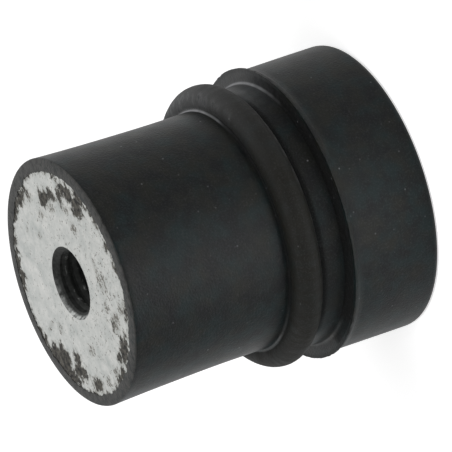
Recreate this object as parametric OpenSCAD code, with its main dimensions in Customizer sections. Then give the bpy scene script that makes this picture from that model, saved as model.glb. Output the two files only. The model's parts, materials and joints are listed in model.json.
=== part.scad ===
// Bonded rubber vibration damper, standing on its head with the threaded end up.
// The groove between the bead and the lip snaps into the bore of a housing wall,
// and a bolt from the other side goes into the threaded insert in the neck.
// All sizes are in millimetres. The axis is Z, and the foot of the head lies on Z = 0.

/* [Rubber body] */
// Overall length, from the foot of the head to the threaded end
body_length = 37.7; // [33:0.1:45]
// Diameter of the neck at its waist, beside the bead
neck_d = 27.5; // [26:0.1:29]
// How far the neck flares out at the threaded end, on the radius
neck_flare = 0.5; // [0.1:0.05:0.8]
// Edge rounding of the threaded end
neck_edge_r = 0.2; // [0.1:0.05:0.8]
// Edge rounding of the foot
foot_edge_r = 0.7; // [0.2:0.1:1.5]

/* [Snap-in collar] */
// Height of the head, from the foot to the groove
head_height = 11.1; // [9:0.1:13]
// Diameter of the groove's floor, which fits the bore of the housing wall
groove_d = 30.2; // [29.2:0.1:32]
// Width of the groove at its floor, for the thickness of the housing wall
groove_width = 3.25; // [2:0.05:4.5]
// Fillet between the groove's floor and the lip
groove_fillet_r = 0.4; // [0.1:0.05:0.8]
// How far the lip stands above the groove's floor
lip_height = 1.8; // [1.2:0.1:2.6]
// Thickness of the lip at its crest
lip_crest = 0.2; // [0.1:0.05:0.5]
// Height of the slope between the lip's crest and the side of the head
lip_slope = 0.7; // [0.3:0.05:1.5]
// Step from the lip's crest in to the side of the head
head_step = 0.45; // [0.2:0.05:1]
// How far the bead stands above the groove's floor
bead_height = 1.2; // [0.8:0.1:1.6]
// Radius of the bead's round section
bead_r = 1.75; // [1.4:0.05:2]
// Fillet between the bead and the neck
bead_fillet_r = 0.3; // [0.2:0.05:0.8]

/* [Hollow in the head] */
// Diameter of the hollow that opens at the foot
hollow_d = 18; // [12:0.5:22]
// Rubber left between the hollow and the insert
hollow_floor = 6.5; // [3:0.5:10]
// Rounding at the closed end of the hollow
hollow_end_r = 3; // [1:0.5:5]
// Lead-in chamfer at the mouth of the hollow
hollow_chamfer = 0.8; // [0.3:0.1:1.5]

/* [Threaded insert] */
// Width of the rubber rim around the insert's face
rim_width = 1.2; // [0.8:0.1:2.5]
// Thickness of the insert's plate
plate_height = 5; // [3:0.1:7]
// Diameter of the boss behind the plate
boss_d = 14.5; // [12:0.5:18]
// Chamfer on the buried edges of the plate and the boss
insert_chamfer = 0.5; // [0.2:0.1:1]
// Fillet between the plate and the boss
boss_fillet_r = 0.8; // [0.2:0.1:1.5]
// Core diameter of the thread, 6.8 for M8
thread_core_d = 6.8; // [5:0.1:8.5]
// Depth of the thread's core, without the drill point
thread_depth = 10.5; // [7:0.5:14]
// Diameter of the countersink at the mouth of the thread
thread_mouth_d = 8.3; // [6:0.1:10.5]
// Full angle of the drill point at the bottom of the thread
drill_angle = 118; // [90:1:140]
// Metal left behind the drill point
boss_floor = 1.5; // [0.5:0.1:4]

/* [Hidden] */
$fn = 96;
// Steps around the neck's large arc, of which only a short stretch is used
waist_steps = 1440;
// Overlap that keeps cuts clear of the faces they open
cut = 1;
// How far the circles of the bead and its fillet overlap, so that they cross cleanly
blend = 0.002;

neck_r = neck_d / 2;
neck_end_r = neck_r + neck_flare;
groove_r = groove_d / 2;
lip_r = groove_r + lip_height;
head_r = lip_r - head_step;
hollow_r = hollow_d / 2;

// Centre of the bead's section: its flank meets the groove's floor one groove width above the lip
bead_ring_r = groove_r + bead_height - bead_r;
bead_z = head_height + groove_width + sqrt(pow(bead_r, 2) - pow(bead_r - bead_height, 2));

// Centre of the fillet that runs from the bead to the waist of the neck
root_r = neck_r + bead_fillet_r;
root_reach = bead_r + bead_fillet_r - blend;
root_z = bead_z + sqrt(pow(root_reach, 2) - pow(bead_ring_r - root_r, 2));

// The neck's side is one arc, from its waist at the fillet to its flared end
waist_length = body_length - root_z;
waist_r = pow(waist_length, 2) / (2 * neck_flare) + neck_flare / 2;

plate_r = neck_end_r - rim_width;
boss_r = boss_d / 2;
core_r = thread_core_d / 2;
mouth_r = thread_mouth_d / 2;
drill_point = core_r / tan(drill_angle / 2);
insert_length = thread_depth + drill_point + boss_floor;
insert_z = body_length - insert_length;
plate_z = body_length - plate_height;
hollow_depth = insert_z - hollow_floor;

// A corner to cut off for a rounding: the corner lies at the origin, and the solid reaches to -x and -y
module outer_corner(r) {
    difference() {
        translate([-r, -r]) square(r + cut);
        translate([-r, -r]) circle(r);
    }
}

// A corner to fill with a fillet: the corner lies at the origin, and the open side is +x and +y
module inner_corner(r) {
    difference() {
        translate([-cut, -cut]) square(r + cut);
        translate([r, r]) circle(r);
    }
}

module head_profile() {
    difference() {
        square([head_r, head_height]);
        translate([head_r, 0]) mirror([0, 1]) outer_corner(foot_edge_r);
    }
}

// The lip: a flat face towards the groove, a narrow crest, and a slope down to the head
module lip_profile() {
    crest_z = head_height - lip_crest;
    polygon([
        [0, crest_z - lip_slope],
        [head_r, crest_z - lip_slope],
        [lip_r, crest_z],
        [lip_r, head_height],
        [0, head_height]
    ]);
    translate([groove_r, head_height]) inner_corner(groove_fillet_r);
}

module bead_profile() {
    translate([0, head_height - cut]) square([groove_r, bead_z - head_height + cut]);
    translate([bead_ring_r, bead_z]) circle(bead_r);
    difference() {
        polygon([[0, bead_z], [bead_ring_r, bead_z], [root_r, root_z], [0, root_z]]);
        translate([root_r, root_z]) circle(bead_fillet_r);
    }
}

module neck_profile() {
    difference() {
        translate([0, bead_z]) square([neck_end_r, body_length - bead_z]);
        translate([neck_r + waist_r, root_z]) circle(waist_r, $fn = waist_steps);
        translate([neck_r, bead_z - cut]) square([neck_flare + cut, root_z - bead_z + cut]);
        translate([neck_end_r, body_length]) outer_corner(neck_edge_r);
    }
}

module hollow_profile() {
    difference() {
        translate([0, -cut]) square([hollow_r, hollow_depth + cut]);
        translate([hollow_r, hollow_depth]) outer_corner(hollow_end_r);
    }
    polygon([
        [0, -cut],
        [hollow_r + hollow_chamfer + cut, -cut],
        [hollow_r, hollow_chamfer],
        [0, hollow_chamfer]
    ]);
}

// The turned outline of the insert, which is also the pocket that the rubber leaves for it
module insert_profile() {
    polygon([
        [0, insert_z],
        [boss_r - insert_chamfer, insert_z],
        [boss_r, insert_z + insert_chamfer],
        [boss_r, plate_z],
        [plate_r - insert_chamfer, plate_z],
        [plate_r, plate_z + insert_chamfer],
        [plate_r, body_length],
        [0, body_length]
    ]);
    translate([boss_r, plate_z]) mirror([0, 1]) inner_corner(boss_fillet_r);
}

// Blind hole for the thread, with a countersunk mouth and a drill point
module thread_hole_profile() {
    core_z = body_length - thread_depth;
    countersink = mouth_r - core_r;
    polygon([
        [0, core_z - drill_point],
        [core_r, core_z],
        [core_r, body_length - countersink],
        [mouth_r + cut, body_length + cut],
        [0, body_length + cut]
    ]);
}

module rubber_body() {
    color("#26282a")
    rotate_extrude()
    difference() {
        union() {
            head_profile();
            lip_profile();
            bead_profile();
            neck_profile();
        }
        hollow_profile();
        insert_profile();
    }
}

module threaded_insert() {
    color("#c9cbca")
    rotate_extrude()
    difference() {
        insert_profile();
        thread_hole_profile();
    }
}

rubber_body();
threaded_insert();
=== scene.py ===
"""Looks of a bonded rubber vibration damper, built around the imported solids.

The damper stands on the foot of its hollow head, with its axis along Z and the threaded end up.
Lengths are in metres, and sizes are written in millimetres times MM.
"""

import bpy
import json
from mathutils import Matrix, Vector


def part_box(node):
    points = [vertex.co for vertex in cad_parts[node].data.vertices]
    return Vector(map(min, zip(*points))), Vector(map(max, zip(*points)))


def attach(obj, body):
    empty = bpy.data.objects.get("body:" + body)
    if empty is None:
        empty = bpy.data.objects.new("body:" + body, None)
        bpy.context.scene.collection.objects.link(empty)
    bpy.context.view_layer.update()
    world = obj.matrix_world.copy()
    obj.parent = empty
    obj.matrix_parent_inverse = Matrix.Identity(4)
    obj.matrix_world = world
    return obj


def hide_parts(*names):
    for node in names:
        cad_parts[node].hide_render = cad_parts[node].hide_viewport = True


bl_info = {
    "name": "Vibration Damper",
    "version": (1, 0, 0),
    "blender": (4, 5, 0),
    "location": "3D View > Sidebar > Damper",
    "description": "Builds the rubber, the tapped insert and the studio of a vibration damper",
    "category": "Add Mesh",
}

import json
import math

import bmesh
import bpy
from bpy.props import FloatProperty, FloatVectorProperty, IntProperty, PointerProperty
from mathutils import Matrix, Vector, noise

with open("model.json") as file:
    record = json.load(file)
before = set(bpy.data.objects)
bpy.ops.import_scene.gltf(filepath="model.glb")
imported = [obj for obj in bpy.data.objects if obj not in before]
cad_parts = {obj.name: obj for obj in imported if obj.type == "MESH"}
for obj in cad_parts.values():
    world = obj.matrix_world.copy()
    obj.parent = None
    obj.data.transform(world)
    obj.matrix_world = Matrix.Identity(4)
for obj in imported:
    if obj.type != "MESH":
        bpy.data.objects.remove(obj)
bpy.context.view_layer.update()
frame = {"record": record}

MM = 0.001
# A hair's breadth, for telling on which surface a point lies
HAIR = 0.01 * MM
# Level of the film attribute where no rubber is near
NO_FILM = -2.5
BODY = "root"
RUBBER_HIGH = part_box("rubber_body")[1]
INSERT_LOW, INSERT_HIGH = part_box("threaded_insert")
MOUNTS = {mount["name"]: mount["dims"] for mount in frame["record"]["mounts"]}

# Sockets of the Mix node: its factor, its two colours and their mix, and its two numbers
FACTOR, FIRST, SECOND, MIXED = 0, 6, 7, 2
LESS, MORE = 2, 3


def linear(hexadecimal):
    """Turns an sRGB hex colour into linear RGBA."""
    parts = [int(hexadecimal[i:i + 2], 16) / 255 for i in (1, 3, 5)]
    return [c / 12.92 if c <= 0.04045 else ((c + 0.055) / 1.055) ** 2.4 for c in parts] + [1.0]


def length(name, description, value):
    """A size that a user may change."""
    return FloatProperty(
        name=name, description=description, default=value, min=0.0, precision=5, unit="LENGTH", subtype="DISTANCE"
    )


def colour(name, description, value):
    """A colour that a user may change, given as sRGB hex."""
    return FloatVectorProperty(name=name, description=description, default=linear(value), size=4, subtype="COLOR")


class DamperRubber(bpy.types.PropertyGroup):
    """Sizes and colours of the rubber moulding."""

    neck_r: length("Neck radius", "Radius of the neck at its waist, beside the bead", 13.75 * MM)
    neck_end_r: length("Neck end radius", "Radius of the neck at the threaded end", 14.25 * MM)
    neck_edge_r: length("Neck edge", "Edge rounding of the threaded end", 0.2 * MM)
    head_r: length("Head radius", "Radius of the head's side", RUBBER_HIGH.x - 0.45 * MM)
    head_height: length("Head height", "From the foot to the groove", 11.1 * MM)
    foot_edge_r: length("Foot edge", "Edge rounding of the foot", 0.7 * MM)
    lip_crest: length("Lip crest", "Thickness of the lip at its crest", 0.2 * MM)
    lip_slope: length("Lip slope", "Height of the slope below the lip's crest", 0.7 * MM)
    groove_r: length("Groove radius", "Radius of the groove's floor", MOUNTS["groove"]["r_mm"] * MM)
    groove_width: length("Groove width", "Width of the groove at its floor", MOUNTS["groove"]["length_mm"] * MM)
    groove_fillet_r: length("Groove fillet", "Fillet between the groove and the lip", 0.4 * MM)
    bead_crest_r: length("Bead crest", "Radius of the bead's crest from the axis", 16.3 * MM)
    bead_r: length("Bead section", "Radius of the bead's round section", 1.75 * MM)
    bead_fillet_r: length("Bead fillet", "Fillet between the bead and the neck", 0.3 * MM)
    hollow_r: length("Hollow radius", "Radius of the hollow in the head", MOUNTS["hollow"]["r_mm"] * MM)
    hollow_end_r: length("Hollow end", "Rounding at the closed end of the hollow", 3.0 * MM)
    hollow_floor: length("Hollow floor", "Rubber between the hollow and the insert", 6.5 * MM)
    hollow_chamfer: length("Hollow chamfer", "Chamfer at the mouth of the hollow", 0.8 * MM)
    rim_crown: length("Rim crown", "How far the rim falls off towards its outer edge", 0.06 * MM)
    unevenness: length("Unevenness", "How far the moulded surface wanders", 0.03 * MM)
    lip_raggedness: length("Lip raggedness", "How far the trimmed crest of the lip wanders inwards", 0.1 * MM)
    swell: length("Swell", "How far the neck and the bead bulge on the side of +X", 0.18 * MM)
    wrinkle: length("Wrinkles", "Depth of the fine wrinkles on the bead", 0.06 * MM)
    rim_creep: length("Rim creep", "How far the rubber rim creeps over the metal face", 0.3 * MM)
    spin_steps: IntProperty(name="Spin steps", description="Steps around the axis", default=480, min=32)
    base: colour("Rubber", "Colour of the rubber", "#030608")
    cool: colour("Cool rubber", "Cooler tone in the rubber's mottling", "#051719")
    # The warm tone also paints the warm light on the side of +X
    warm: colour("Warm rubber", "Warmer tone in the rubber's mottling", "#13120c")
    matt: colour("Matt rubber", "Rubbed rubber on the bead and the lip", "#0f0e09")
    rim: colour("Rim", "Scuffed rubber rim around the metal face", "#3a3a38")
    # The dust colour also paints the pale highlights in the creases
    dust_and_highlight: colour("Dust", "Pale dust on the rubber", "#8a8b8d")


class DamperInsert(bpy.types.PropertyGroup):
    """Sizes and colours of the tapped insert and the rubber film on its face."""

    plate_r: length("Plate radius", "Radius of the plate that shows inside the rubber rim", INSERT_HIGH.x)
    plate_height: length("Plate thickness", "Thickness of the plate", 5.0 * MM)
    boss_r: length("Boss radius", "Radius of the boss behind the plate", 7.25 * MM)
    boss_fillet_r: length("Boss fillet", "Fillet between the plate and the boss", 0.8 * MM)
    chamfer: length("Buried chamfer", "Chamfer on the buried edges", 0.5 * MM)
    face_drop: length("Face drop", "How far the metal face lies under the rubber rim", 0.06 * MM)
    core_r: length("Thread core", "Radius of the thread's crests", MOUNTS["thread"]["r_mm"] * MM)
    thread_r: length("Thread radius", "Radius of the thread's root, part filled by the coating", 3.62 * MM)
    mouth_r: length("Mouth radius", "Radius of the countersunk mouth", 4.25 * MM)
    pitch: length("Pitch", "Pitch of the thread", 1.25 * MM)
    thread_depth: length("Thread depth", "Depth of the thread", 10.5 * MM)
    drill_point: length("Drill point", "Depth of the drill point below the thread", 2.04 * MM)
    spin_steps: IntProperty(name="Spin steps", description="Steps around the axis", default=288, min=32)
    metal: colour("Aluminium", "Blasted aluminium of the face", "#cdcdca")
    shade: colour("Dull aluminium", "Duller clouds in the aluminium", "#a8acaa")
    smear: colour("Smear", "Thin grey rubber smears on the face", "#84847e")
    film: colour("Film", "Rubber film on the face", "#131312")
    thin_film: colour("Thin film", "Rubber film where it is thinnest", "#625f58")
    thread: colour("Thread", "Blackened thread in the hole", "#222322")
    # The paler coat also paints light deep in the bore, where shade falls
    thin_coat_and_bore_light: colour("Thin coat", "Blackened thread where its coat is thin", "#5e605e")
    glint: colour("Glint", "Bare metal on the thread's crests and countersink", "#a2a4a2")


class DamperStage(bpy.types.PropertyGroup):
    """Camera and colours of the studio."""

    elevation: FloatProperty(
        name="Elevation",
        description="Camera height above the horizon",
        default=math.radians(24.65),
        subtype="ANGLE",
    )
    roll: FloatProperty(
        name="Roll",
        description="Turn of the camera about its view",
        default=math.radians(-108.61),
        subtype="ANGLE",
    )
    aim_x: length("Aim side", "Aim point beside the axis", 0.54 * MM)
    aim_z: length("Aim height", "Aim point above the floor", 17.58 * MM)
    distance: length("Distance", "From the camera to the aim point", 1.2)
    lens: FloatProperty(
        name="Lens",
        description="Focal length in mm, on a sensor 36 mm wide",
        default=859.5,
        subtype="DISTANCE_CAMERA",
    )
    floor: colour("Floor", "Pale floor", "#e9e9e9")


def arc(centre_r, centre_z, radius, start, end, steps):
    """Points of an arc in the plane of the axis, from start to end in degrees."""
    turns = [math.radians(start + (end - start) * i / steps) for i in range(steps + 1)]
    return [(centre_r + radius * math.cos(t), centre_z + radius * math.sin(t)) for t in turns]


def run(start, end, steps):
    """Points of a straight stretch, with both its ends."""
    return [tuple(a + (b - a) * i / steps for a, b in zip(start, end)) for i in range(steps + 1)]


def grain(point, size):
    """Smooth noise from -1 to 1, with features of about that size."""
    return noise.noise(point / size)


def spin_profile(profile, steps):
    """A closed round mesh from a profile of (radius, height) points that begins and ends on the axis."""
    bm = bmesh.new()
    verts = [bm.verts.new((r, 0.0, z)) for r, z in profile]
    edges = [bm.edges.new(pair) for pair in zip(verts, verts[1:])]
    bmesh.ops.spin(
        bm, geom=verts + edges, cent=(0, 0, 0), axis=(0, 0, 1), angle=math.tau, steps=steps, use_merge=True
    )
    bmesh.ops.remove_doubles(bm, verts=bm.verts, dist=0.0001 * MM)
    bmesh.ops.recalc_face_normals(bm, faces=bm.faces)
    return bm


def finish_piece(name, bm, materials, replaced):
    """Turns a bmesh into a smooth piece that rides on the damper in place of a solid."""
    mesh = bpy.data.meshes.new(name)
    bm.to_mesh(mesh)
    bm.free()
    mesh.shade_smooth()
    mesh.set_sharp_from_angle(angle=math.radians(35))
    for material in materials:
        mesh.materials.append(material)
    piece = bpy.data.objects.new(name, mesh)
    bpy.context.scene.collection.objects.link(piece)
    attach(piece, BODY)
    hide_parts(replaced)
    return piece


def add_node(tree, kind, props=None, values=None, links=None):
    """Adds a node with its settings, its socket values and its links."""
    made = tree.nodes.new(kind)
    for name, value in (props or {}).items():
        setattr(made, name, value)
    for socket, value in (values or {}).items():
        made.inputs[socket].default_value = value
    for socket, source in (links or {}).items():
        tree.links.new(source, made.inputs[socket])
    return made


def new_material(name):
    """A node material with an empty tree, its output and its Object coordinates."""
    material = bpy.data.materials.new(name)
    material.use_nodes = True
    tree = material.node_tree
    tree.nodes.clear()
    output = add_node(tree, "ShaderNodeOutputMaterial")
    coords = add_node(tree, "ShaderNodeTexCoord")
    return material, tree, output.inputs["Surface"], coords.outputs["Object"]


def per_mm(size):
    """Texture scale for features of that many millimetres, on coordinates in metres."""
    return 1.0 / (size * MM)


def moulded_rubber(s):
    """Black rubber as it leaves the mould.

    The neck and the head are satin and faintly mottled in teal and olive, warmer on the side of +X as a
    painted warm light, and mirror the studio at a low angle. The attribute "wear" runs from -1 in dull
    creases painted dark as shade, over 0 on the plain skin, to 1 on the matt, paler bead and lip. "Scuff"
    marks the grey rim around the metal, and "dust" the pale lines painted as highlights in the creases on
    the side of +X. A fine stipple and single specks in the same pale colour lie all over.
    """
    material, tree, surface, where = new_material("moulded_rubber")
    wear_and_painted_light = add_node(tree, "ShaderNodeAttribute", {"attribute_name": "wear_and_painted_light"})
    scuff = add_node(tree, "ShaderNodeAttribute", {"attribute_name": "scuff"})
    dust_and_highlight = add_node(tree, "ShaderNodeAttribute", {"attribute_name": "dust_and_highlight"})
    rubbed = add_node(tree, "ShaderNodeMapRange", links={"Value": wear_and_painted_light.outputs["Fac"]})
    # Painted shade: below 0 the attribute darkens the creases to black and dulls them
    painted_shade = add_node(
        tree, "ShaderNodeMapRange", values={"From Max": -1.0}, links={"Value": wear_and_painted_light.outputs["Fac"]}
    )
    clouds = add_node(
        tree, "ShaderNodeTexNoise", values={"Scale": per_mm(1.8), "Detail": 5.0}, links={"Vector": where}
    )
    cloudy = add_node(
        tree,
        "ShaderNodeMapRange",
        values={"From Min": 0.36, "From Max": 0.58},
        links={"Value": clouds.outputs["Fac"]},
    )
    tints = add_node(
        tree, "ShaderNodeTexNoise", values={"Scale": per_mm(3.2), "Detail": 4.0}, links={"Vector": where}
    )
    # The mottling is warmer on the side of +X, a painted warm light from that side
    axes = add_node(tree, "ShaderNodeSeparateXYZ", links={0: where})
    tints_and_warm_light = add_node(
        tree,
        "ShaderNodeMath",
        {"operation": "MULTIPLY_ADD"},
        {1: per_mm(200)},
        {0: axes.outputs["X"], 2: tints.outputs["Fac"]},
    )
    tinted = add_node(
        tree,
        "ShaderNodeMapRange",
        values={"From Min": 0.42, "From Max": 0.58, "To Min": 0.15, "To Max": 0.85},
        links={"Value": tints_and_warm_light.outputs[0]},
    )
    tone = add_node(
        tree,
        "ShaderNodeMix",
        {"data_type": "RGBA"},
        {FIRST: s.cool, SECOND: s.warm},
        {FACTOR: tinted.outputs[0]},
    )
    ground = add_node(
        tree,
        "ShaderNodeMix",
        {"data_type": "RGBA"},
        {FIRST: s.base},
        {FACTOR: cloudy.outputs[0], SECOND: tone.outputs[MIXED]},
    )
    paler = add_node(
        tree,
        "ShaderNodeMix",
        {"data_type": "RGBA"},
        {SECOND: s.matt},
        {FACTOR: rubbed.outputs[0], FIRST: ground.outputs[MIXED]},
    )
    # The painted shade in the creases
    darker = add_node(
        tree,
        "ShaderNodeMix",
        {"data_type": "RGBA"},
        {SECOND: (0.0, 0.0, 0.0, 1.0)},
        {FACTOR: painted_shade.outputs[0], FIRST: paler.outputs[MIXED]},
    )
    scuffs = add_node(
        tree, "ShaderNodeTexNoise", values={"Scale": per_mm(0.7), "Detail": 4.0}, links={"Vector": where}
    )
    scuffed = add_node(
        tree,
        "ShaderNodeMapRange",
        values={"From Min": 0.3, "From Max": 0.6},
        links={"Value": scuffs.outputs["Fac"]},
    )
    greyness = add_node(
        tree, "ShaderNodeMath", {"operation": "MULTIPLY"}, links={0: scuff.outputs["Fac"], 1: scuffed.outputs[0]}
    )
    greyed = add_node(
        tree,
        "ShaderNodeMix",
        {"data_type": "RGBA"},
        {SECOND: s.rim},
        {FACTOR: greyness.outputs[0], FIRST: darker.outputs[MIXED]},
    )
    # Dust: some of the random cells hold a speck about 0.2 mm across, each as bright as its cell's number,
    # and a fine stipple lies all over, drawn about twice as coarse as it is, so that it shows
    cells = add_node(tree, "ShaderNodeTexVoronoi", values={"Scale": per_mm(0.9)}, links={"Vector": where})
    chance = add_node(
        tree,
        "ShaderNodeMapRange",
        values={"From Min": 0.7, "From Max": 1.0, "To Max": 0.65},
        links={"Value": cells.outputs["Color"]},
    )
    speck = add_node(
        tree,
        "ShaderNodeMapRange",
        values={"From Min": 0.05, "From Max": 0.15, "To Min": 1.0, "To Max": 0.0},
        links={"Value": cells.outputs["Distance"]},
    )
    bloom = add_node(
        tree, "ShaderNodeTexNoise", values={"Scale": per_mm(0.2), "Detail": 3.0}, links={"Vector": where}
    )
    stipple = add_node(
        tree,
        "ShaderNodeMapRange",
        values={"From Min": 0.5, "From Max": 0.75, "To Max": 0.045},
        links={"Value": bloom.outputs["Fac"]},
    )
    # The dust attribute brings the pale lines painted as highlights in the creases
    highlight_and_dust_share = add_node(
        tree, "ShaderNodeMath", {"operation": "ADD"}, links={0: dust_and_highlight.outputs["Fac"], 1: stipple.outputs[0]}
    )
    dust_and_highlight_mix = add_node(
        tree,
        "ShaderNodeMath",
        {"operation": "MULTIPLY_ADD", "use_clamp": True},
        links={0: chance.outputs[0], 1: speck.outputs[0], 2: highlight_and_dust_share.outputs[0]},
    )
    with_dust_and_highlight = add_node(
        tree,
        "ShaderNodeMix",
        {"data_type": "RGBA"},
        {SECOND: s.dust_and_highlight},
        {FACTOR: dust_and_highlight_mix.outputs[0], FIRST: greyed.outputs[MIXED]},
    )
    patches = add_node(
        tree, "ShaderNodeTexNoise", values={"Scale": per_mm(2.0), "Detail": 4.0}, links={"Vector": where}
    )
    satin = add_node(
        tree,
        "ShaderNodeMapRange",
        values={"To Min": 0.34, "To Max": 0.48},
        links={"Value": patches.outputs["Fac"]},
    )
    matter = add_node(
        tree,
        "ShaderNodeMix",
        values={MORE: 0.72},
        links={FACTOR: rubbed.outputs[0], LESS: satin.outputs[0]},
    )
    roughness = add_node(
        tree,
        "ShaderNodeMix",
        values={MORE: 0.95},
        links={FACTOR: painted_shade.outputs[0], LESS: matter.outputs[0]},
    )
    peel = add_node(
        tree, "ShaderNodeTexNoise", values={"Scale": per_mm(1.2), "Detail": 2.0}, links={"Vector": where}
    )
    peeled = add_node(
        tree,
        "ShaderNodeBump",
        values={"Strength": 0.15, "Distance": 0.05 * MM},
        links={"Height": peel.outputs["Fac"]},
    )
    # The skin's grain, drawn about three times as coarse as it is, so that it shows
    skin = add_node(
        tree, "ShaderNodeTexNoise", values={"Scale": per_mm(0.25), "Detail": 2.0}, links={"Vector": where}
    )
    bump = add_node(
        tree,
        "ShaderNodeBump",
        values={"Strength": 0.75, "Distance": 0.05 * MM},
        links={"Height": skin.outputs["Fac"], "Normal": peeled.outputs["Normal"]},
    )
    shader = add_node(
        tree,
        "ShaderNodeBsdfPrincipled",
        values={"IOR": 1.5, "Specular IOR Level": 0.16},
        links={
            "Base Color": with_dust_and_highlight.outputs[MIXED],
            "Roughness": roughness.outputs[0],
            "Normal": bump.outputs["Normal"],
        },
    )
    tree.links.new(shader.outputs[0], surface)
    return material


def blasted_aluminium(s):
    """Grit-blasted aluminium under remains of rubber.

    The metal is pale and matt, with duller clouds. The attribute "film" says where rubber crept over it
    in the mould: above 0 it is covered, and just below 0 it is smeared grey. The attribute "soil" says
    where the bare metal is hazy and full of small dark flecks.
    """
    material, tree, surface, where = new_material("blasted_aluminium")
    film = add_node(tree, "ShaderNodeAttribute", {"attribute_name": "film"})
    soil = add_node(tree, "ShaderNodeAttribute", {"attribute_name": "soil"})
    drawn = add_node(tree, "ShaderNodeMapping", values={"Scale": (0.75, 1.0, 1.0)}, links={"Vector": where})
    torn = add_node(
        tree,
        "ShaderNodeTexNoise",
        values={"Scale": per_mm(0.75), "Detail": 6.0, "Roughness": 0.72},
        links={"Vector": drawn.outputs[0]},
    )
    # The noise, spread to 2.3 on both sides of 0, tears the edge of the film
    ragged = add_node(
        tree,
        "ShaderNodeMath",
        {"operation": "MULTIPLY_ADD"},
        {1: 4.6, 2: -2.3},
        {0: torn.outputs["Fac"]},
    )
    cover = add_node(
        tree, "ShaderNodeMath", {"operation": "ADD"}, links={0: film.outputs["Fac"], 1: ragged.outputs[0]}
    )
    covered = add_node(
        tree,
        "ShaderNodeMapRange",
        values={"From Min": -0.08, "From Max": 0.12},
        links={"Value": cover.outputs[0]},
    )
    smeared = add_node(
        tree,
        "ShaderNodeMapRange",
        values={"From Min": -0.5, "From Max": 0.0, "To Max": 0.7},
        links={"Value": cover.outputs[0]},
    )
    # Soil adds to the haze of the smears, and to the flecks below
    haze = add_node(
        tree,
        "ShaderNodeMath",
        {"operation": "MULTIPLY_ADD"},
        {1: 0.3},
        {0: soil.outputs["Fac"], 2: smeared.outputs[0]},
    )
    clouds = add_node(
        tree,
        "ShaderNodeTexNoise",
        values={"Scale": per_mm(1.6), "Detail": 7.0, "Roughness": 0.72},
        links={"Vector": where},
    )
    cloudy = add_node(
        tree,
        "ShaderNodeMapRange",
        values={"From Min": 0.3, "From Max": 0.7},
        links={"Value": clouds.outputs["Fac"]},
    )
    ground = add_node(
        tree,
        "ShaderNodeMix",
        {"data_type": "RGBA"},
        {FIRST: s.shade, SECOND: s.metal},
        {FACTOR: cloudy.outputs[0]},
    )
    greyed = add_node(
        tree,
        "ShaderNodeMix",
        {"data_type": "RGBA"},
        {SECOND: s.smear},
        {FACTOR: haze.outputs[0], FIRST: ground.outputs[MIXED]},
    )
    grit = add_node(
        tree,
        "ShaderNodeTexNoise",
        values={"Scale": per_mm(0.28), "Detail": 2.0, "Roughness": 0.6},
        links={"Vector": drawn.outputs[0]},
    )
    crowded = add_node(
        tree,
        "ShaderNodeMath",
        {"operation": "MULTIPLY_ADD"},
        {1: 0.14},
        {0: soil.outputs["Fac"], 2: grit.outputs["Fac"]},
    )
    flecks = add_node(
        tree,
        "ShaderNodeMapRange",
        values={"From Min": 0.665, "From Max": 0.71, "To Max": 0.9},
        links={"Value": crowded.outputs[0]},
    )
    pitted = add_node(
        tree,
        "ShaderNodeMix",
        {"data_type": "RGBA"},
        {SECOND: s.thin_film},
        {FACTOR: flecks.outputs[0], FIRST: greyed.outputs[MIXED]},
    )
    thickness = add_node(
        tree,
        "ShaderNodeTexNoise",
        values={"Scale": per_mm(0.5), "Detail": 5.0, "Roughness": 0.65},
        links={"Vector": where},
    )
    thinned = add_node(
        tree,
        "ShaderNodeMapRange",
        values={"From Min": 0.38, "From Max": 0.64},
        links={"Value": thickness.outputs["Fac"]},
    )
    rubber = add_node(
        tree,
        "ShaderNodeMix",
        {"data_type": "RGBA"},
        {FIRST: s.film, SECOND: s.thin_film},
        {FACTOR: thinned.outputs[0]},
    )
    coated = add_node(
        tree,
        "ShaderNodeMix",
        {"data_type": "RGBA"},
        links={FACTOR: covered.outputs[0], FIRST: pitted.outputs[MIXED], SECOND: rubber.outputs[MIXED]},
    )
    bare = add_node(
        tree,
        "ShaderNodeMapRange",
        values={"To Min": 1.0, "To Max": 0.0},
        links={"Value": covered.outputs[0]},
    )
    roughness = add_node(
        tree,
        "ShaderNodeMapRange",
        values={"To Min": 0.48, "To Max": 0.66},
        links={"Value": covered.outputs[0]},
    )
    step = add_node(
        tree,
        "ShaderNodeBump",
        values={"Strength": 0.5, "Distance": 0.05 * MM},
        links={"Height": covered.outputs[0]},
    )
    # The blasted grain, drawn about twice as coarse as it is, so that it shows
    blast = add_node(
        tree, "ShaderNodeTexNoise", values={"Scale": per_mm(0.16), "Detail": 3.0}, links={"Vector": where}
    )
    bump = add_node(
        tree,
        "ShaderNodeBump",
        values={"Strength": 0.3, "Distance": 0.02 * MM},
        links={"Height": blast.outputs["Fac"], "Normal": step.outputs["Normal"]},
    )
    shader = add_node(
        tree,
        "ShaderNodeBsdfPrincipled",
        values={"Specular IOR Level": 0.2},
        links={
            "Base Color": coated.outputs[MIXED],
            "Metallic": bare.outputs[0],
            "Roughness": roughness.outputs[0],
            "Normal": bump.outputs["Normal"],
        },
    )
    tree.links.new(shader.outputs[0], surface)
    return material


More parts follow.
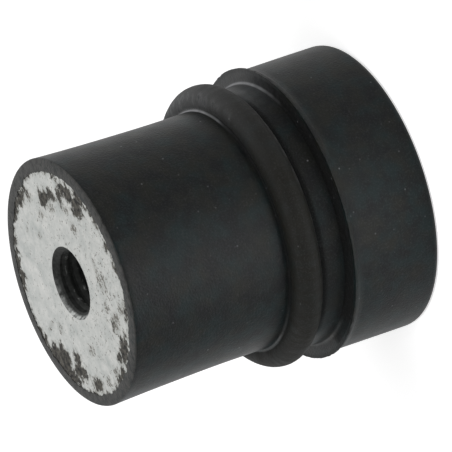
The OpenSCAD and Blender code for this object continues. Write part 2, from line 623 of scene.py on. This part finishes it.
def blackened_thread(s):
    """Tapped aluminium under dried bonding agent.

    It is near black and is painted greyer down the bore, as light that lifts the shade deep in the hole, with
    bare glints along the crests. One side of the countersink is bare, which paints a highlight on its wall.
    """
    material, tree, surface, where = new_material("blackened_thread")
    face = INSERT_HIGH.z - s.face_drop
    flat = add_node(tree, "ShaderNodeMapping", values={"Scale": (1.0, 1.0, 0.0)}, links={"Vector": where})
    radius = add_node(tree, "ShaderNodeVectorMath", {"operation": "LENGTH"}, links={0: flat.outputs[0]})
    crest = add_node(
        tree,
        "ShaderNodeMapRange",
        values={
            "From Min": s.core_r + 0.03 * MM,
            "From Max": s.core_r + 0.1 * MM,
            "To Min": 1.0,
            "To Max": 0.0,
        },
        links={"Value": radius.outputs["Value"]},
    )
    wear_and_painted_light = add_node(
        tree, "ShaderNodeTexNoise", values={"Scale": per_mm(1.5), "Detail": 4.0}, links={"Vector": where}
    )
    worn = add_node(
        tree,
        "ShaderNodeMapRange",
        values={"From Min": 0.55, "From Max": 0.6},
        links={"Value": wear_and_painted_light.outputs["Fac"]},
    )
    glints = add_node(
        tree, "ShaderNodeMath", {"operation": "MULTIPLY"}, links={0: crest.outputs[0], 1: worn.outputs[0]}
    )
    axes = add_node(tree, "ShaderNodeSeparateXYZ", links={0: where})
    # The countersink is bare on the side of -X, which paints a highlight on the wall that faces the light
    side = add_node(
        tree,
        "ShaderNodeMapRange",
        values={"From Min": 2.0 * MM, "From Max": -3.5 * MM},
        links={"Value": axes.outputs["X"]},
    )
    mouth = add_node(
        tree,
        "ShaderNodeMapRange",
        values={"From Min": face - 0.45 * MM, "From Max": face - 0.25 * MM},
        links={"Value": axes.outputs["Z"]},
    )
    streaks = add_node(
        tree, "ShaderNodeTexNoise", values={"Scale": per_mm(0.5), "Detail": 4.0}, links={"Vector": where}
    )
    streaked = add_node(
        tree,
        "ShaderNodeMapRange",
        values={"From Min": 0.3, "From Max": 0.6},
        links={"Value": streaks.outputs["Fac"]},
    )
    turned = add_node(
        tree, "ShaderNodeMath", {"operation": "MULTIPLY"}, links={0: side.outputs[0], 1: mouth.outputs[0]}
    )
    bare_highlight_side = add_node(
        tree, "ShaderNodeMath", {"operation": "MULTIPLY"}, links={0: turned.outputs[0], 1: streaked.outputs[0]}
    )
    bare = add_node(
        tree, "ShaderNodeMath", {"operation": "MAXIMUM"}, links={0: glints.outputs[0], 1: bare_highlight_side.outputs[0]}
    )
    # Painted light: the coat grows paler down the bore, to lift the shade deep in the hole
    deep = add_node(
        tree,
        "ShaderNodeMapRange",
        values={"From Min": face - 1.0 * MM, "From Max": face - 5.0 * MM, "To Max": 0.6},
        links={"Value": axes.outputs["Z"]},
    )
    thin = add_node(
        tree,
        "ShaderNodeMath",
        {"operation": "MULTIPLY_ADD", "use_clamp": True},
        {1: 0.3},
        {0: streaked.outputs[0], 2: deep.outputs[0]},
    )
    coat = add_node(
        tree,
        "ShaderNodeMix",
        {"data_type": "RGBA"},
        {FIRST: s.thread, SECOND: s.thin_coat_and_bore_light},
        {FACTOR: thin.outputs[0]},
    )
    tone = add_node(
        tree,
        "ShaderNodeMix",
        {"data_type": "RGBA"},
        {SECOND: s.glint},
        {FACTOR: bare.outputs[0], FIRST: coat.outputs[MIXED]},
    )
    shader = add_node(
        tree,
        "ShaderNodeBsdfPrincipled",
        values={"Roughness": 0.6, "Specular IOR Level": 0.12},
        links={"Base Color": tone.outputs[MIXED], "Metallic": bare.outputs[0]},
    )
    tree.links.new(shader.outputs[0], surface)
    return material


def insert_outline(p):
    """The insert's buried outline, from the axis up to the rim of the plate's face."""
    plate_z = INSERT_HIGH.z - p.plate_height
    points = [(0, INSERT_LOW.z), (p.boss_r - p.chamfer, INSERT_LOW.z), (p.boss_r, INSERT_LOW.z + p.chamfer)]
    points += arc(p.boss_r + p.boss_fillet_r, plate_z - p.boss_fillet_r, p.boss_fillet_r, 180, 90, steps=6)
    return points + [(p.plate_r - p.chamfer, plate_z), (p.plate_r, plate_z + p.chamfer)]


def bead_centre(s):
    """Radius and height of the centre of the bead's round section."""
    ring = s.bead_crest_r - s.bead_r
    rise = math.sqrt(s.bead_r**2 - (s.groove_r - ring) ** 2)
    return ring, s.head_height + s.groove_width + rise


def bead_root(s):
    """Radius and height of the centre of the fillet between the bead and the neck."""
    ring, bead_z = bead_centre(s)
    root_r = s.neck_r + s.bead_fillet_r
    return root_r, bead_z + math.sqrt((s.bead_r + s.bead_fillet_r) ** 2 - (ring - root_r) ** 2)


def rubber_profile(s, p):
    """The moulding's outline, from the insert's pocket round the outside to the end of the hollow."""
    top = RUBBER_HIGH.z
    rim_r = s.neck_end_r - s.neck_edge_r
    edge_z = top - s.rim_crown - s.neck_edge_r
    bead_ring, bead_z = bead_centre(s)
    bead_low = s.head_height + s.groove_width
    root_r, root_z = bead_root(s)
    flare = s.neck_end_r - s.neck_r
    waist_r = (top - root_z) ** 2 / (2 * flare) + flare / 2
    waist_turn = math.degrees(math.asin((edge_z - root_z) / waist_r))
    meet = math.degrees(math.atan2(root_z - bead_z, root_r - bead_ring))
    flank = math.degrees(math.atan2(bead_low - bead_z, s.groove_r - bead_ring))
    fillet_r = s.groove_r + s.groove_fillet_r
    fillet_z = s.head_height + s.groove_fillet_r
    lip_r = RUBBER_HIGH.x
    crest_z = s.head_height - s.lip_crest
    slope_z = crest_z - s.lip_slope
    hollow_z = INSERT_LOW.z - s.hollow_floor
    points = insert_outline(p) + [(p.plate_r, top - 2 * p.face_drop)]
    fall = [i / 6 for i in range(7)]
    points += [(p.plate_r + (rim_r - p.plate_r) * t, top - s.rim_crown * t * t) for t in fall]
    points += arc(rim_r, edge_z, s.neck_edge_r, 90, 0, steps=5)[1:]
    points += arc(s.neck_r + waist_r, root_z, waist_r, 180 - waist_turn, 180, steps=36)[1:]
    # One more ring close to the fillet, where the painted highlight in it ends
    points.insert(-1, (s.neck_r, root_z + 0.12 * MM))
    points += arc(root_r, root_z, s.bead_fillet_r, -180, meet - 180, steps=7)[1:]
    points += arc(bead_ring, bead_z, s.bead_r, meet, flank, steps=28)[1:]
    points += run((s.groove_r, bead_low), (s.groove_r, fillet_z), steps=7)[1:]
    points += arc(fillet_r, fillet_z, s.groove_fillet_r, 180, 270, steps=7)[1:]
    points += run((fillet_r, s.head_height), (lip_r, s.head_height), steps=8)[1:]
    points += [(lip_r, crest_z)]
    points += run((lip_r, crest_z), (s.head_r, slope_z), steps=4)[1:]
    points += run((s.head_r, slope_z), (s.head_r, s.foot_edge_r), steps=16)[1:]
    points += arc(s.head_r - s.foot_edge_r, s.foot_edge_r, s.foot_edge_r, 0, -90, steps=8)[1:]
    points += [(s.hollow_r + s.hollow_chamfer, 0), (s.hollow_r, s.hollow_chamfer)]
    points += arc(s.hollow_r - s.hollow_end_r, hollow_z - s.hollow_end_r, s.hollow_end_r, 0, 90, steps=10)
    return points + [(0, hollow_z)]


# Layers of noise that make an edge ragged: the share of each, and its size in millimetres
RAGGED_RIM = [(1.0, 2.5), (0.9, 0.8), (0.7, 0.4)]
RAGGED_LIP = [(0.4, 3.0), (0.6, 0.8), (0.4, 0.4)]


def layered(point, layers):
    """Noise in several sizes at once."""
    return sum(share * grain(point, size * MM) for share, size in layers)


def clamp(value):
    """Keeps a share between 0 and 1."""
    return min(1.0, max(0.0, value))


def bell(turn, middle, half, least):
    """A share that is 1 in the middle of an arc, in degrees, and falls to the least on both sides."""
    return max(least, 1.0 - ((turn - middle) / half) ** 2)


def turn_of(rise, reach):
    """Where a point lies on a round section, in degrees."""
    return math.degrees(math.atan2(rise, reach))


def age_surface(bm, s, p):
    """Gives the moulding its surface, and marks where it is rubbed, where it is scuffed and where light and shade
    are painted on it.

    The skin is uneven, the neck and the bead are a little out of round, the bead is wrinkled, the lip is
    ragged, and the rim creeps over the metal. The creases are painted dark as shade on the side of -Y, and
    painted with pale lines as highlights on the side of +X, where the bead is also painted paler as light.
    """
    top = RUBBER_HIGH.z
    rim_z = top - s.rim_crown - s.neck_edge_r / 2
    bead_ring, bead_z = bead_centre(s)
    bead_low = s.head_height + s.groove_width
    root_r, root_z = bead_root(s)
    lip_root_r = s.groove_r + s.groove_fillet_r
    lip_root_z = s.head_height + s.groove_fillet_r
    wear_and_painted_light = bm.verts.layers.float.new("wear_and_painted_light")
    scuff = bm.verts.layers.float.new("scuff")
    dust_and_highlight = bm.verts.layers.float.new("dust_and_highlight")
    for vert in bm.verts:
        place = vert.co.copy()
        r = math.hypot(place.x, place.y)
        if r < p.plate_r - 0.1 * MM or place.z < s.foot_edge_r / 4:
            continue
        out = Vector((place.x / r, place.y / r, 0.0))
        upper = max(0.0, out.x)
        # Painted shade: how dark the creases are, most on the side of -Y
        painted_shade_side = clamp(2.2 - 3.0 * (1.0 + out.y) + 0.5 * grain(place, 2.0 * MM))
        # Painted highlights: how pale the creases are, on the side of +X
        highlight_and_dust_share = clamp(3.2 * (out.x - 0.68) + 0.2 * grain(place, 1.0 * MM)) ** 2
        move = s.unevenness * grain(place, 7.0 * MM)
        if place.z > rim_z:
            vert[scuff] = 1.0
            if r < p.plate_r + HAIR and place.z > top - p.face_drop:
                move = -s.rim_creep * max(0.0, 0.4 + layered(place, RAGGED_RIM))
        elif place.z > bead_low and math.hypot(r - bead_ring, place.z - bead_z) < s.bead_r + HAIR:
            # The bead is rubbed; on the side of +X it is painted paler as light, its wrinkles are painted dark as
            # shade, and its edge towards the groove gets a painted highlight
            turn = turn_of(place.z - bead_z, r - bead_ring)
            flank = clamp(turn / 60)
            around = Vector((out.x, out.y, r / (36.0 * MM)))
            fold = 0.7 * grain(around, 1 / 22) + 0.4 * grain(around, 1 / 45)
            crease = max(0.0, fold) * flank
            # A painted highlight along the bead's edge towards the groove
            edge = max(0.0, 1.0 - abs(turn + 52) / 20) * max(0.0, out.x + 0.7 * grain(place, 0.8 * MM))
            vert[wear_and_painted_light] = 0.8 + 0.4 * fold - 4.0 * crease * flank**3 * upper
            vert[dust_and_highlight] = 0.09 * upper**2 + 0.15 * highlight_and_dust_share * flank + 0.25 * edge
            move += 0.5 * s.unevenness * grain(place, 0.6 * MM) - s.wrinkle * crease
        elif bead_z < place.z < root_z and r < root_r:
            # The fillet between the neck and the bead: painted dark as shade on the side of -Y, and painted with
            # a pale highlight on the side of +X
            turn = turn_of(root_z - place.z, root_r - r)
            vert[wear_and_painted_light] = -0.8 * painted_shade_side
            vert[dust_and_highlight] = 1.2 * highlight_and_dust_share * bell(turn, 30, 40, 0.1)
        elif s.head_height - HAIR < place.z < bead_low + HAIR:
            # The groove is painted darkest in its corners, as shade on the side of -Y; on the side of +X its
            # fillet gets a painted pale highlight and its floor is a little paler, as light
            corner = place.z > bead_low - 0.6 * MM or place.z < lip_root_z
            vert[wear_and_painted_light] = -(0.9 if corner else 0.35) * painted_shade_side
            vert[dust_and_highlight] = 0.2 * highlight_and_dust_share
            if r < lip_root_r and place.z < lip_root_z:
                turn = turn_of(lip_root_z - place.z, lip_root_r - r)
                vert[dust_and_highlight] = highlight_and_dust_share * bell(turn, 45, 35, 0.2)
        if abs(place.z - s.head_height) < s.lip_slope and r > s.head_r:
            # The lip is trimmed along its crest
            vert[wear_and_painted_light] = 0.25
            share = (r - s.head_r) / (RUBBER_HIGH.x - s.head_r)
            trim = 0.2 + layered(place, RAGGED_LIP)
            move = (1.0 - share) * move - share * s.lip_raggedness * max(0.0, trim)
        above = clamp((place.z - bead_low) / (1.0 * MM))
        outside = clamp((r - p.plate_r) / (0.6 * MM))
        move += s.swell * (0.5 + 0.5 * out.x) ** 2 * above * outside
        vert.co += out * move


class DAMPER_OT_rubber_body(bpy.types.Operator):
    """Spin the rubber moulding and give it its surface"""

    bl_idname = "damper.rubber_body"
    bl_label = "Rubber Body"

    def execute(self, context):
        s = context.scene.damper_rubber
        p = context.scene.damper_insert
        bm = spin_profile(rubber_profile(s, p), s.spin_steps)
        age_surface(bm, s, p)
        finish_piece("moulded_body", bm, [moulded_rubber(s)], "rubber_body")
        return {"FINISHED"}


# Rubber film on the metal face: angle in degrees, distance from the axis, half length round the
# axis and half width along the radius, in millimetres
FILM_PATCHES = [
    (-2, 10.0, 1.2, 1.0),
    (-13, 10.2, 0.8, 0.6),
    (20, 12.1, 0.6, 0.5),
    (28, 12.2, 1.1, 0.7),
    (39, 12.8, 1.8, 0.6),
    (70, 12.7, 2.6, 0.6),
    (79, 12.4, 1.3, 0.7),
    (112, 12.8, 1.4, 0.7),
    (125, 12.2, 1.2, 1.0),
    (133, 11.5, 1.8, 1.7),
    (145, 12.4, 1.4, 0.7),
    (152, 10.8, 1.5, 0.9),
    (149, 9.5, 0.8, 0.8),
    (171, 11.8, 1.1, 0.9),
    (205, 12.6, 1.8, 0.5),
    (213, 11.3, 0.8, 0.6),
    (222, 11.8, 1.8, 0.9),
    (231, 9.4, 0.6, 0.35),
    (247, 12.6, 1.0, 0.7),
    (270, 12.7, 0.6, 0.5),
    (282, 12.6, 0.5, 0.5),
    (296, 12.9, 1.2, 0.5),
    (314, 11.0, 1.3, 1.2),
    (311, 12.6, 1.8, 0.4),
    (326, 11.6, 1.6, 0.9),
    (335, 10.5, 0.6, 0.9),
    (338, 12.6, 0.5, 0.4),
]

# Hazy, flecked places on the bare metal, in the same order
SOILED_PATCHES = [
    (-43, 7.8, 1.1, 1.0),
    (-32, 9.2, 1.0, 0.8),
    (-9, 8.5, 1.1, 0.7),
    (12, 8.5, 1.2, 0.8),
    (17, 11.0, 1.2, 0.8),
    (33, 7.3, 0.8, 0.6),
    (43, 9.8, 0.5, 0.4),
    (113, 9.6, 0.5, 1.6),
    (123, 8.0, 1.0, 0.8),
    (176, 7.8, 1.2, 0.9),
    (186, 11.6, 1.0, 0.7),
    (200, 11.6, 1.0, 0.7),
    (236, 10.0, 1.8, 1.3),
    (242, 7.9, 1.0, 0.6),
    (247, 11.3, 1.0, 0.7),
    (268, 7.5, 2.8, 0.7),
    (262, 8.5, 1.7, 0.7),
]


def depth_in(place, patch):
    """How deep a point lies in an oval patch: 1 in its middle, 0 on its edge and below 0 outside."""
    angle, at, half_length, half_width = patch
    turn = math.radians(angle)
    along = place.y * math.cos(turn) - place.x * math.sin(turn)
    outward = place.x * math.cos(turn) + place.y * math.sin(turn) - at * MM
    return 1.0 - math.hypot(along / (half_length * MM), outward / (half_width * MM))


def film_cover(place, p):
    """How firmly rubber film covers a point of the face: 1 is 0.8 mm inside its edge, -1 as far outside."""
    reach = 0.8
    cover = (math.hypot(place.x, place.y) - p.plate_r + 0.1 * MM) / (reach * MM)
    for patch in FILM_PATCHES:
        cover = max(cover, depth_in(place, patch) * min(patch[2:]) / reach)
    return max(NO_FILM, cover)


def soil_cover(place, p):
    """How hazy and flecked the bare metal is: a little more towards the side of -Y, and most in the soiled
    patches.
    """
    # The haze and the flecks grow evenly towards the side of -Y
    soil = 0.2 - 0.2 * place.y / p.plate_r
    return soil + max(clamp(1.6 * depth_in(place, patch)) for patch in SOILED_PATCHES)


def insert_profile(p):
    """The insert's outline, from its buried end round the plate and down the bore to the drill point."""
    face = INSERT_HIGH.z - p.face_drop
    core_z = INSERT_HIGH.z - p.thread_depth
    points = insert_outline(p)
    points += run((p.plate_r, face), (p.mouth_r, face), steps=48)
    points += [(p.thread_r, face - (p.mouth_r - p.thread_r)), (p.thread_r, core_z)]
    return points + [(p.core_r, core_z - 0.1 * MM), (0, core_z - p.drill_point)]


def thread_ridge(bm, p):
    """Sweeps the thread's ridge down the bore, and trims its start with the countersink."""
    face = INSERT_HIGH.z - p.face_drop
    body = set(bm.verts)
    turns = int(p.thread_depth / p.pitch)
    steps_per_turn = 64
    root_half, crest_half = 0.46 * p.pitch, 0.06 * p.pitch
    # The ridge's foot lies in the wall of the bore, and its start in the countersink and under the face
    foot_r = p.thread_r + 0.05 * MM
    start_r = p.mouth_r + 0.02 * MM
    start_z = face - 0.03 * MM
    section = [
        bm.verts.new((foot_r, 0.0, face + root_half)),
        bm.verts.new((p.core_r, 0.0, face + crest_half)),
        bm.verts.new((p.core_r, 0.0, face - crest_half)),
        bm.verts.new((foot_r, 0.0, face - root_half)),
    ]
    bmesh.ops.spin(
        bm,
        geom=[bm.faces.new(section)],
        cent=(0, 0, 0),
        axis=(0, 0, 1),
        dvec=(0, 0, -p.pitch / steps_per_turn),
        angle=math.tau * turns,
        steps=steps_per_turn * turns,
    )
    for vert in bm.verts:
        if vert in body:
            continue
        r = math.hypot(vert.co.x, vert.co.y)
        cone_r = start_r - max(0.0, face - vert.co.z)
        if r < cone_r:
            vert.co.x *= cone_r / r
            vert.co.y *= cone_r / r
        vert.co.z = min(vert.co.z, start_z)


class DAMPER_OT_threaded_insert(bpy.types.Operator):
    """Turn the metal insert, cut its thread and mark the rubber film on its face"""

    bl_idname = "damper.threaded_insert"
    bl_label = "Threaded Insert"

    def execute(self, context):
        p = context.scene.damper_insert
        face = INSERT_HIGH.z - p.face_drop
        bm = spin_profile(insert_profile(p), p.spin_steps)
        film = bm.verts.layers.float.new("film")
        soil = bm.verts.layers.float.new("soil")
        for vert in bm.verts:
            on_face = vert.co.z > face - HAIR
            vert[film] = film_cover(vert.co, p) if on_face else NO_FILM
            vert[soil] = soil_cover(vert.co, p) if on_face else 0.0
        thread_ridge(bm, p)
        bmesh.ops.recalc_face_normals(bm, faces=bm.faces)
        for part in bm.faces:
            centre = part.calc_center_median()
            in_bore = math.hypot(centre.x, centre.y) < p.mouth_r and centre.z > INSERT_LOW.z + 0.5 * MM
            part.material_index = 1 if in_bore else 0
        materials = [blasted_aluminium(p), blackened_thread(p)]
        finish_piece("tapped_insert", bm, materials, "threaded_insert")
        return {"FINISHED"}


def add_camera(scene, s):
    """A long lens that looks at the aim point, rolled so that the damper lies as if on its side."""
    camera = bpy.data.objects.new("camera", bpy.data.cameras.new("camera"))
    scene.collection.objects.link(camera)
    camera.data.sensor_width = 36.0
    camera.data.lens = s.lens
    camera.data.clip_start = 0.01
    camera.data.clip_end = 50.0
    turn = Matrix.Rotation(math.pi / 2 - s.elevation, 4, "X") @ Matrix.Rotation(s.roll, 4, "Z")
    back = Vector((0.0, -math.cos(s.elevation), math.sin(s.elevation)))
    aim = Vector((s.aim_x, 0.0, s.aim_z))
    camera.matrix_world = Matrix.Translation(aim + back * s.distance) @ turn
    scene.camera = camera


def seen(tree, directly, mirrored, otherwise):
    """A level for what the camera sees directly, for what it sees mirrored, and for the light on the object."""
    rays = add_node(tree, "ShaderNodeLightPath")
    bounced = add_node(
        tree,
        "ShaderNodeMath",
        {"operation": "MAXIMUM"},
        links={0: rays.outputs["Is Glossy Ray"], 1: rays.outputs["Is Transmission Ray"]},
    )
    lit = add_node(
        tree,
        "ShaderNodeMapRange",
        values={"To Min": otherwise, "To Max": mirrored},
        links={"Value": bounced.outputs[0]},
    )
    level = add_node(
        tree,
        "ShaderNodeMapRange",
        values={"To Max": directly},
        links={"Value": rays.outputs["Is Camera Ray"], "To Min": lit.outputs[0]},
    )
    return level.outputs[0]


def pale_floor(s):
    """Matt pale board, lifted to white where it is seen, so that it still shows the shadow."""
    material, tree, surface, _ = new_material("pale_floor")
    shader = add_node(
        tree,
        "ShaderNodeBsdfPrincipled",
        values={
            "Base Color": s.floor,
            "Roughness": 0.9,
            "Specular IOR Level": 0.0,
            "Emission Color": (1.0, 1.0, 1.0, 1.0),
        },
        links={"Emission Strength": seen(tree, directly=0.59, mirrored=0.35, otherwise=0.0)},
    )
    tree.links.new(shader.outputs[0], surface)
    return material


def add_floor(scene, s):
    """A wide floor, a hair below the foot, so that the two faces don't lie in one plane."""
    bm = bmesh.new()
    below = Matrix.Translation((0, 0, -HAIR))
    bmesh.ops.create_grid(bm, x_segments=1, y_segments=1, size=3.0, matrix=below)
    mesh = bpy.data.meshes.new("floor")
    bm.to_mesh(mesh)
    bm.free()
    mesh.materials.append(pale_floor(s))
    floor = bpy.data.objects.new("floor", mesh)
    scene.collection.objects.link(floor)


def add_world(scene):
    """A white studio all round, which lights the object at less than half that level."""
    world = bpy.data.worlds.new("studio")
    scene.world = world
    world.use_nodes = True
    tree = world.node_tree
    tree.nodes.clear()
    output = add_node(tree, "ShaderNodeOutputWorld")
    white = add_node(
        tree,
        "ShaderNodeBackground",
        values={"Color": (1, 1, 1, 1)},
        links={"Strength": seen(tree, directly=1.0, mirrored=1.0, otherwise=0.4)},
    )
    tree.links.new(white.outputs[0], output.inputs["Surface"])


def add_softbox(scene, name, place, target, size, power):
    """A square lamp that shines on the target and that the camera doesn't see."""
    lamp = bpy.data.lights.new(name, "AREA")
    lamp.shape = "SQUARE"
    lamp.size = size
    lamp.energy = power
    softbox = bpy.data.objects.new(name, lamp)
    softbox.visible_camera = False
    scene.collection.objects.link(softbox)
    towards = Vector(target) - Vector(place)
    softbox.matrix_world = Matrix.Translation(place) @ towards.to_track_quat("-Z", "Y").to_matrix().to_4x4()
    return lamp


class DAMPER_OT_stage(bpy.types.Operator):
    """Set up the camera, the pale floor and the soft light"""

    bl_idname = "damper.stage"
    bl_label = "Studio"

    def execute(self, context):
        scene = context.scene
        s = scene.damper_stage
        scene.view_settings.view_transform = "Standard"
        add_camera(scene, s)
        add_floor(scene, s)
        add_world(scene)
        middle = (0.0, 0.0, s.aim_z)
        add_softbox(scene, "key_softbox", (0.45, 0.1, 0.38), middle, size=0.5, power=1.3)
        add_softbox(scene, "side_softbox", (-0.45, 0.29, 0.27), middle, size=0.5, power=0.8)
        # Shines down on the floor in front, which the side of the neck mirrors as a soft band
        spot = Vector((-0.022, -0.062, 0.0))
        low = add_softbox(scene, "floor_lamp", spot + Vector((0.0, 0.0, 0.12)), spot, size=0.04, power=0.05)
        low.spread = math.radians(50)
        return {"FINISHED"}


class DAMPER_PT_panel(bpy.types.Panel):
    """Lists the damper's pieces with their sizes and colours"""

    bl_label = "Vibration Damper"
    bl_idname = "DAMPER_PT_panel"
    bl_space_type = "VIEW_3D"
    bl_region_type = "UI"
    bl_category = "Damper"

    def draw(self, context):
        for operator, settings in PANEL_ROWS:
            self.layout.operator(operator.bl_idname)
            box = self.layout.box()
            group = getattr(context.scene, settings)
            for name in group.__annotations__:
                box.prop(group, name)


PANEL_ROWS = [
    (DAMPER_OT_rubber_body, "damper_rubber"),
    (DAMPER_OT_threaded_insert, "damper_insert"),
    (DAMPER_OT_stage, "damper_stage"),
]
SETTINGS = {"damper_rubber": DamperRubber, "damper_insert": DamperInsert, "damper_stage": DamperStage}
CLASSES = [*SETTINGS.values(), *(operator for operator, _ in PANEL_ROWS), DAMPER_PT_panel]


def register():
    for cls in CLASSES:
        bpy.utils.register_class(cls)
    for name, cls in SETTINGS.items():
        setattr(bpy.types.Scene, name, PointerProperty(type=cls))


def unregister():
    for name in SETTINGS:
        delattr(bpy.types.Scene, name)
    for cls in reversed(CLASSES):
        bpy.utils.unregister_class(cls)


def main():
    register()
    bpy.ops.damper.rubber_body()
    bpy.ops.damper.threaded_insert()
    bpy.ops.damper.stage()


if __name__ == "__main__":
    main()
